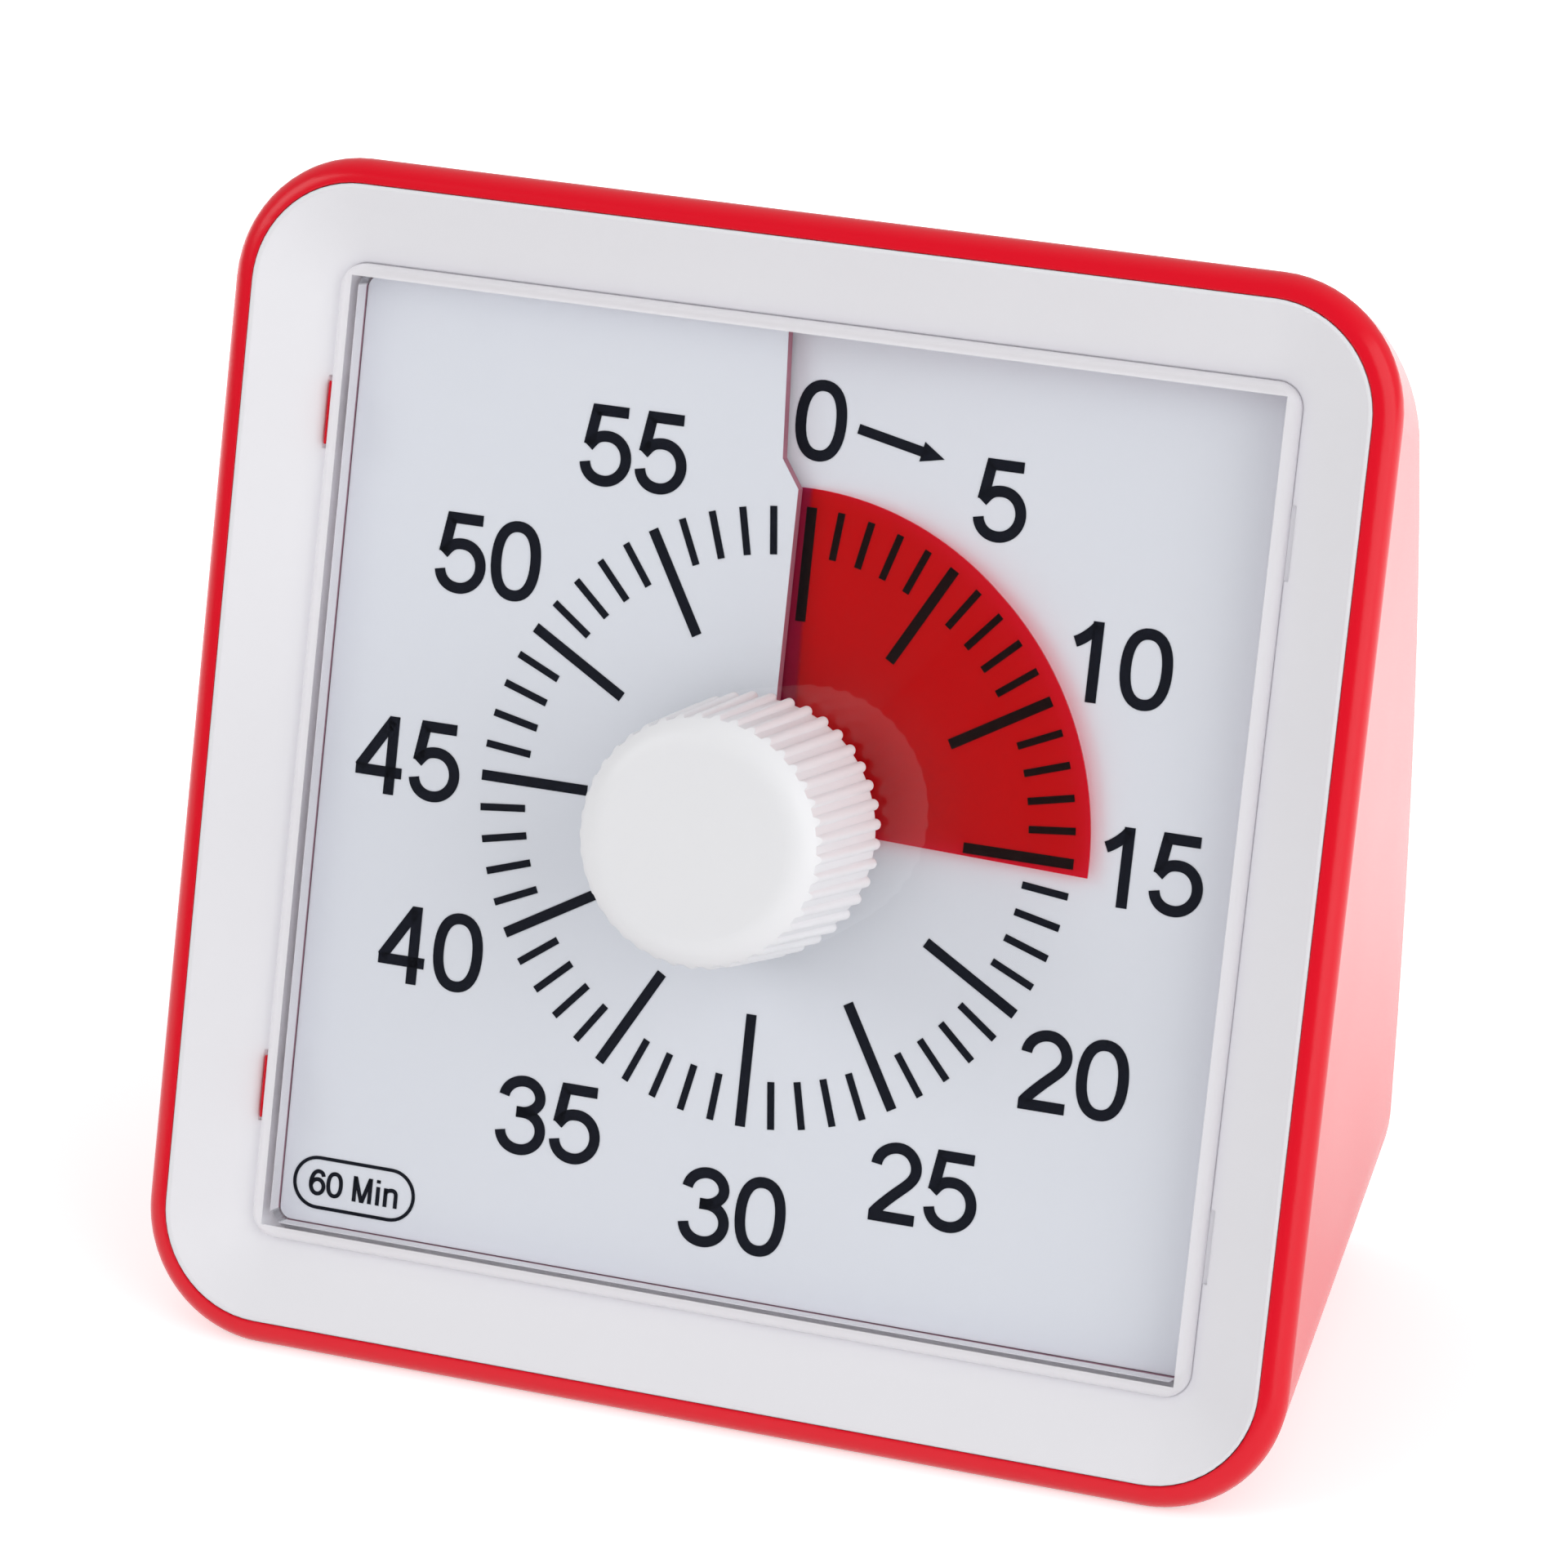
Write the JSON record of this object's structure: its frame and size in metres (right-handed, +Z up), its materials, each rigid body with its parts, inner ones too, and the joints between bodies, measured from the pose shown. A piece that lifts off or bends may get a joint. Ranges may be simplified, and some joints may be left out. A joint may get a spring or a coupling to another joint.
{
  "type": "visual countdown timer",
  "caption": "Desk countdown timer: leaning square face, ribbed knob, and a red film disc that winds out through a slit in the printed dial; battery movement inside",
  "frame": {"origin": "middle of the bounding box on the level the timer stands on", "axes": "+X to the right seen from the front, +Y to the rear, +Z up; the dial faces -Y and leans back 17.5 degrees"},
  "size_m": [0.0892, 0.046, 0.0851],
  "materials": {
    "housing_red": "smooth moulded plastic, satin gloss",
    "door_red": "smooth moulded plastic, satin gloss",
    "bezel_white": "fine matt moulded plastic",
    "plate_white": "smooth matt plastic with black printing",
    "clear_window": "clear polished plastic",
    "film_red": "thin translucent film",
    "knob_white": "satin moulded plastic with fine ribs",
    "hub_white": "moulded acetal",
    "gear_white": "moulded acetal",
    "inner_plastic": "black moulded plastic",
    "case_clear": "smooth grey moulded plastic",
    "steel": "ground steel",
    "spring_steel": "rolled spring steel",
    "screw_steel": "zinc plated steel",
    "contact_metal": "nickel plated spring steel",
    "crystal_can": "plated can",
    "bush_brass": "turned brass",
    "coil_copper": "enamelled copper wire",
    "board_green": "solder masked board",
    "buzzer_black": "black moulded plastic",
    "switch_black": "black moulded plastic",
    "cell_jacket": "shrink jacket over a steel can"
  },
  "bodies": {
    "housing_body": {"housing": "housing_red", "bezel": "bezel_white", "lens": "clear_window", "dial_plate": "plate_white", "chassis": "inner_plastic", "chassis_bush": "bush_brass", "contact_leaf": "contact_metal", "intermediate_pin": "steel", "motor_unit": "inner_plastic", "motor_coil": "coil_copper", "circuit_board": "board_green", "quartz_crystal": "crystal_can", "movement_case": "case_clear", "movement_screws": "screw_steel", "housing_screws": "screw_steel", "buzzer": "buzzer_black", "switch_body": "buzzer_black", "battery": "cell_jacket", "battery_plate": "contact_metal", "battery_leaf": "contact_metal"},
    "knob_body": {"timer_knob": "knob_white", "knob_shaft": "steel", "film_hub": "hub_white", "red_film": "film_red", "clutch_spring": "spring_steel", "clutch_collar": "bush_brass", "alarm_cam": "gear_white"},
    "main_wheel_body": {"main_wheel": "gear_white"},
    "intermediate_gear_body": {"intermediate_gear": "gear_white"},
    "motor_pinion_body": {"motor_pinion": "gear_white"},
    "sound_switch_body": {"sound_switch": "switch_black"},
    "battery_door_body": {"battery_door": "door_red"}
  },
  "joints": [
    {"name": "knob_turn", "type": "hinge", "parent": "housing_body", "child": "knob_body", "pos_m": [0, -0.00463, 0.04133], "axis": [0, 0.9537, -0.3007], "range_deg": [-90, 270], "deforming": ["red_film"]},
    {"name": "main_wheel_turn", "type": "hinge", "parent": "housing_body", "child": "main_wheel_body", "pos_m": [0, -0.00463, 0.04133], "axis": [0, 0.9537, -0.3007], "range_deg": [-90, 270]},
    {"name": "intermediate_gear_turn", "type": "hinge", "parent": "housing_body", "child": "intermediate_gear_body", "pos_m": [-0.01145, -0.00807, 0.03041], "axis": [0, 0.9537, -0.3007], "range_deg": [-1350, 450]},
    {"name": "motor_pinion_turn", "type": "hinge", "parent": "housing_body", "child": "motor_pinion_body", "pos_m": [0.00055, -0.00807, 0.03041], "axis": [0, 0.9537, -0.3007], "range_deg": [-2250, 6750]},
    {"name": "sound_switch_slide", "type": "slide", "parent": "housing_body", "child": "sound_switch_body", "axis": [1, 0, 0], "range_m": [0, 0.003]},
    {"name": "battery_door_slide", "type": "slide", "parent": "housing_body", "child": "battery_door_body", "axis": [0, 1, 0], "range_m": [0, 0.012]}
  ],
  "couplings": [
    {"joint": "main_wheel_turn", "follows": "knob_turn", "ratio": 1},
    {"joint": "intermediate_gear_turn", "follows": "knob_turn", "ratio": -5},
    {"joint": "motor_pinion_turn", "follows": "knob_turn", "ratio": 25}
  ]
}
